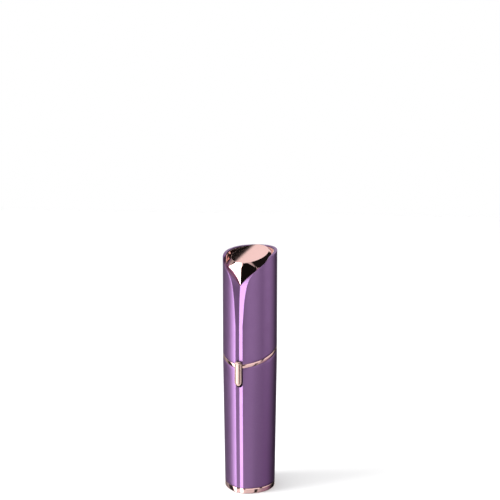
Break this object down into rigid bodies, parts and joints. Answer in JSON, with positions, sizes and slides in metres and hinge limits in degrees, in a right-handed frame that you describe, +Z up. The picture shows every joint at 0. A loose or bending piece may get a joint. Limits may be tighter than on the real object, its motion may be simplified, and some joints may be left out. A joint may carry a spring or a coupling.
{
  "type": "battery facial hair remover",
  "caption": "Slim lipstick-shaped battery hair remover with a purple tapered sleeve, rose-gold trim, a pull-off cap and a twist-off rotary foil head.",
  "frame": {"origin": "centre of the base's underside", "axes": "+Z up along the body, -Y towards the switch and the V notch of the cap"},
  "size_m": [0.026, 0.0283, 0.1165],
  "materials": {
    "mirror_rose": "polished",
    "dark_plastic": "matte",
    "white_plastic": "matte",
    "foam": "matte",
    "rubber": "matte",
    "steel": "satin",
    "spring_steel": "satin",
    "brass": "satin",
    "copper": "satin",
    "jacket": "gloss",
    "foil_gold": "satin",
    "magnet": "matte",
    "wire": "gloss",
    "wire_dark": "gloss",
    "ceramic_disc": "gloss",
    "cap_paint": "satin"
  },
  "bodies": {
    "handle": {"body_sleeve": "cap_paint", "base_ring": "mirror_rose", "base_plug": "dark_plastic", "base_cushion": "foam"},
    "chassis": {"collar": "mirror_rose", "column_sleeve": "mirror_rose", "neck": "white_plastic", "shaft_seal": "foam", "battery_cradle": "white_plastic", "cell_can": "steel", "cell_jacket": "jacket", "cell_button": "steel", "cell_washer": "white_plastic", "negative_spring": "spring_steel", "return_strip": "brass", "positive_contact": "brass", "switch_blade": "brass", "motor_can": "steel", "motor_endcap": "dark_plastic", "motor_magnets": "magnet", "motor_bushes": "brass", "motor_terminals": "brass", "motor_brushes": "copper", "motor_holder": "white_plastic", "motor_boot": "rubber", "chassis_screws": "steel", "capacitor": "ceramic_disc", "wire_return": "wire_dark", "wire_switched": "wire"},
    "rotor": {"rotor_shaft": "steel", "rotor_core": "steel", "rotor_windings": "copper", "commutator": "copper", "drive_hub": "dark_plastic", "cutter_spring": "spring_steel", "cutter_hub": "dark_plastic", "cutter_blades": "steel"},
    "head": {"head_ring": "mirror_rose", "foil_frame": "mirror_rose", "foil_retainer": "white_plastic", "foil": "foil_gold"},
    "switch": {"switch_button": "mirror_rose", "switch_carrier": "dark_plastic", "switch_wiper": "copper"},
    "cap": {"cap_shell": "cap_paint", "cap_crown": "mirror_rose", "cap_liner": "white_plastic"}
  },
  "joints": [
    {"name": "chassis_pull", "type": "slide", "parent": "handle", "child": "chassis", "axis": [0, 0, 1], "range_m": [0, 0.07]},
    {"name": "cap_pull", "type": "slide", "parent": "chassis", "child": "cap", "axis": [0, 0, 1], "range_m": [0, 0.045]},
    {"name": "switch_slide", "type": "slide", "parent": "chassis", "child": "switch", "axis": [0, 0, 1], "range_m": [0, 0.0026]},
    {"name": "head_twist", "type": "hinge", "parent": "chassis", "child": "head", "pos_m": [0, 0, 0], "axis": [0, 0, 1], "range_deg": [0, 30]},
    {"name": "cutter_spin", "type": "hinge", "parent": "chassis", "child": "rotor", "pos_m": [0, 0, 0], "axis": [0, 0, 1], "continuous": true}
  ]
}
